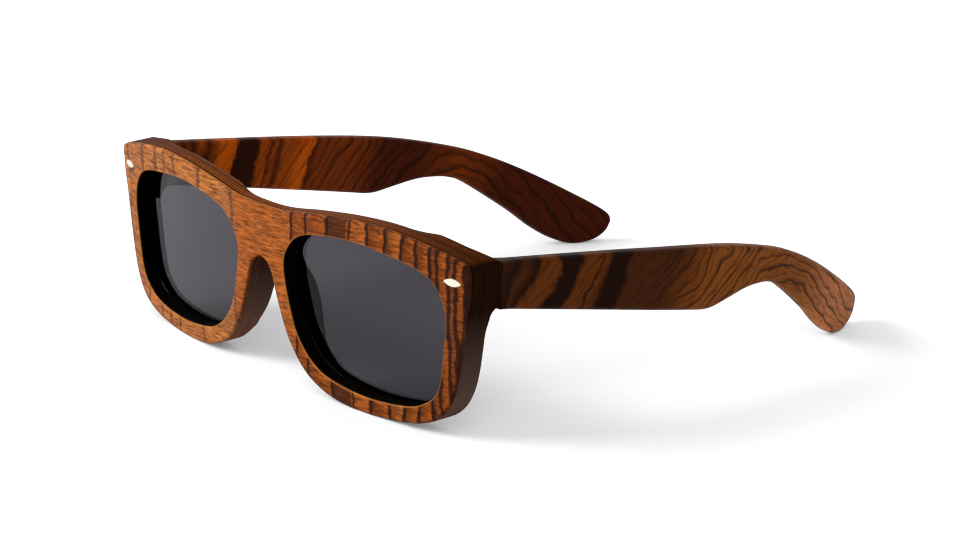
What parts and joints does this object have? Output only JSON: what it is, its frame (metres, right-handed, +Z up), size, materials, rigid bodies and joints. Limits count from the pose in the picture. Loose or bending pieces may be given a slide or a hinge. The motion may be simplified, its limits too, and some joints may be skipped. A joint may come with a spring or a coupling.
{
  "type": "wooden sunglasses",
  "caption": "Wood-framed sunglasses: a bent laminated front with grey lenses and carved nose pads, and side arms that fold in on metal hinges.",
  "frame": {"origin": "on the table plane, under the middle of the part's box", "axes": "+Z up, the front faces -Y, the wearer's left is +X"},
  "size_m": [0.1408, 0.1548, 0.0469],
  "materials": {
    "figured_wood": "satin oil, dark figure bands",
    "dark_ply_wood": "satin oil, lighter glue lines",
    "temple_wood": "satin oil, dark slanting bands",
    "tinted_lens": "grey tint, polished",
    "pin_metal": "polished, warm white",
    "hinge_steel": "fine brushed",
    "screw_steel": "plain"
  },
  "bodies": {
    "front": {"front_ply_01": "figured_wood", "front_ply_02": "dark_ply_wood", "front_ply_03": "dark_ply_wood", "front_ply_04": "dark_ply_wood", "front_ply_05": "dark_ply_wood", "front_ply_06": "dark_ply_wood", "front_ply_07": "dark_ply_wood", "front_ply_08": "dark_ply_wood", "left_lug_block": "dark_ply_wood", "left_nose_pad": "dark_ply_wood", "left_lens": "tinted_lens", "left_corner_pin": "pin_metal", "left_front_leaf": "hinge_steel", "left_pivot_screw": "screw_steel", "left_front_leaf_screws": "screw_steel", "right_lug_block": "dark_ply_wood", "right_nose_pad": "dark_ply_wood", "right_lens": "tinted_lens", "right_corner_pin": "pin_metal", "right_front_leaf": "hinge_steel", "right_pivot_screw": "screw_steel", "right_front_leaf_screws": "screw_steel"},
    "left_arm": {"left_temple": "temple_wood", "left_temple_leaf": "hinge_steel", "left_temple_leaf_screws": "screw_steel"},
    "right_arm": {"right_temple": "temple_wood", "right_temple_leaf": "hinge_steel", "right_temple_leaf_screws": "screw_steel"}
  },
  "joints": [
    {"name": "left_fold", "type": "hinge", "parent": "front", "child": "left_arm", "pos_m": [0.0638, -0.05829, 0.03539], "axis": [0, 0, 1], "range_deg": [0, 84]},
    {"name": "right_fold", "type": "hinge", "parent": "front", "child": "right_arm", "pos_m": [-0.0638, -0.05829, 0.03539], "axis": [0, 0, -1], "range_deg": [0, 72]}
  ]
}
